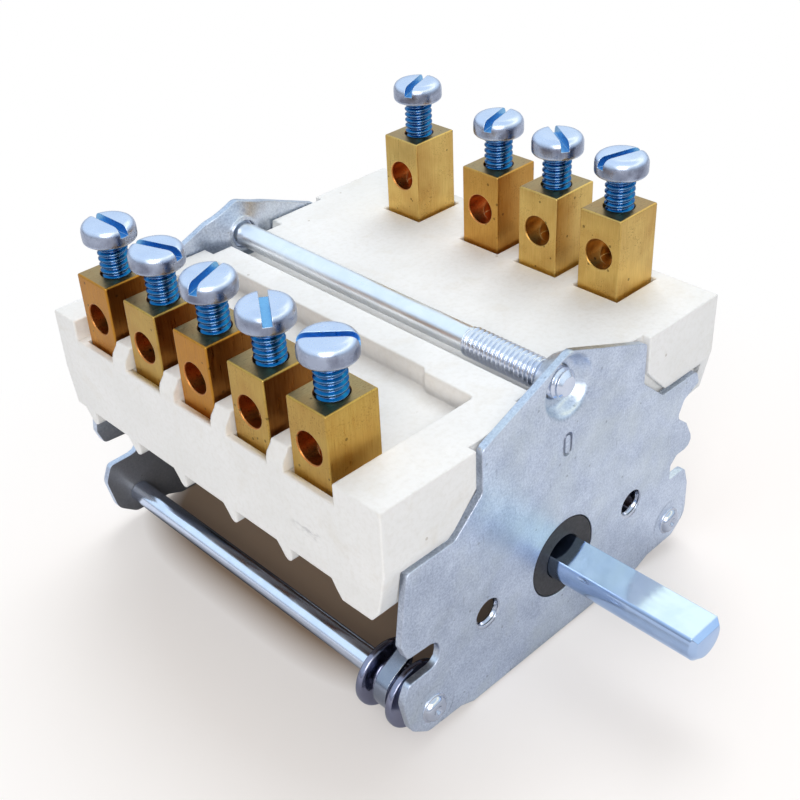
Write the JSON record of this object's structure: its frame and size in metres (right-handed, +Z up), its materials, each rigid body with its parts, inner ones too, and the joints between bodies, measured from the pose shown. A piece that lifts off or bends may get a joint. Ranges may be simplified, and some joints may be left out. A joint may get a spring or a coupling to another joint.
{
  "type": "rotary cam switch",
  "caption": "Rotary selector switch with a ceramic body, steel end plates, flatted shaft and rows of brass screw terminals.",
  "frame": {"origin": "below the middle of the whole part, at the level it stands on", "axes": "+Z up, the shaft points to -Y and the rear plate faces +Y, +X to the right seen from the shaft's side"},
  "size_m": [0.06, 0.0846, 0.0572],
  "materials": {
    "ceramic": "matte unglazed off-white",
    "plate_steel": "zinc plated, satin and mottled",
    "bright_zinc": "bright zinc",
    "brass": "drawn brass, slightly tarnished",
    "black_plastic": "dark moulded",
    "brown_resin": "moulded resin",
    "contact_bronze": "rolled bronze",
    "spring_steel": "dark blued"
  },
  "bodies": {
    "base": {"housing": "ceramic", "follower_1": "ceramic", "follower_2": "ceramic", "follower_3": "ceramic", "follower_4": "ceramic", "follower_5": "ceramic", "front_plate": "plate_steel", "rear_plate": "plate_steel", "top_tie_screw": "bright_zinc", "left_tie_rod": "bright_zinc", "right_tie_rod": "bright_zinc", "terminal_1": "brass", "terminal_2": "brass", "terminal_3": "brass", "terminal_4": "brass", "terminal_5": "brass", "terminal_6": "brass", "terminal_7": "brass", "terminal_8": "brass", "terminal_9": "brass", "front_bushing": "black_plastic", "rear_bushing": "black_plastic", "contact_spring_1": "contact_bronze", "contact_spring_2": "contact_bronze", "contact_spring_3": "contact_bronze", "contact_spring_4": "contact_bronze", "contact_spring_5": "contact_bronze", "fixed_contact_6": "contact_bronze", "fixed_contact_7": "contact_bronze", "fixed_contact_8": "contact_bronze", "fixed_contact_9": "contact_bronze", "left_spool": "spring_steel", "right_spool": "spring_steel", "left_detent_strip": "spring_steel", "right_detent_strip": "spring_steel"},
    "rotor": {"shaft": "bright_zinc", "detent_wheel": "plate_steel", "cam_1": "brown_resin", "cam_2": "brown_resin", "cam_3": "brown_resin", "cam_4": "brown_resin", "cam_5": "brown_resin"},
    "screw_1": {"screw_1": "bright_zinc"},
    "screw_2": {"screw_2": "bright_zinc"},
    "screw_3": {"screw_3": "bright_zinc"},
    "screw_4": {"screw_4": "bright_zinc"},
    "screw_5": {"screw_5": "bright_zinc"},
    "screw_6": {"screw_6": "bright_zinc"},
    "screw_7": {"screw_7": "bright_zinc"},
    "screw_8": {"screw_8": "bright_zinc"},
    "screw_9": {"screw_9": "bright_zinc"}
  },
  "joints": [
    {"name": "rotor_turn", "type": "hinge", "parent": "base", "child": "rotor", "pos_m": [0, 0, 0.0132], "axis": [0, -1, 0], "continuous": true, "deforming": ["contact_spring_1", "contact_spring_2", "contact_spring_3", "contact_spring_4", "contact_spring_5", "left_detent_strip", "right_detent_strip", "follower_1", "follower_2", "follower_3", "follower_4", "follower_5"]},
    {"name": "screw_1_travel", "type": "slide", "parent": "base", "child": "screw_1", "axis": [0, 0, 1], "range_m": [-0.004, 0]},
    {"name": "screw_2_travel", "type": "slide", "parent": "base", "child": "screw_2", "axis": [0, 0, 1], "range_m": [-0.004, 0]},
    {"name": "screw_3_travel", "type": "slide", "parent": "base", "child": "screw_3", "axis": [0, 0, 1], "range_m": [-0.004, 0]},
    {"name": "screw_4_travel", "type": "slide", "parent": "base", "child": "screw_4", "axis": [0, 0, 1], "range_m": [-0.004, 0]},
    {"name": "screw_5_travel", "type": "slide", "parent": "base", "child": "screw_5", "axis": [0, 0, 1], "range_m": [-0.004, 0]},
    {"name": "screw_6_travel", "type": "slide", "parent": "base", "child": "screw_6", "axis": [0, 0, 1], "range_m": [-0.004, 0]},
    {"name": "screw_7_travel", "type": "slide", "parent": "base", "child": "screw_7", "axis": [0, 0, 1], "range_m": [-0.004, 0]},
    {"name": "screw_8_travel", "type": "slide", "parent": "base", "child": "screw_8", "axis": [0, 0, 1], "range_m": [-0.004, 0]},
    {"name": "screw_9_travel", "type": "slide", "parent": "base", "child": "screw_9", "axis": [0, 0, 1], "range_m": [-0.004, 0]}
  ]
}
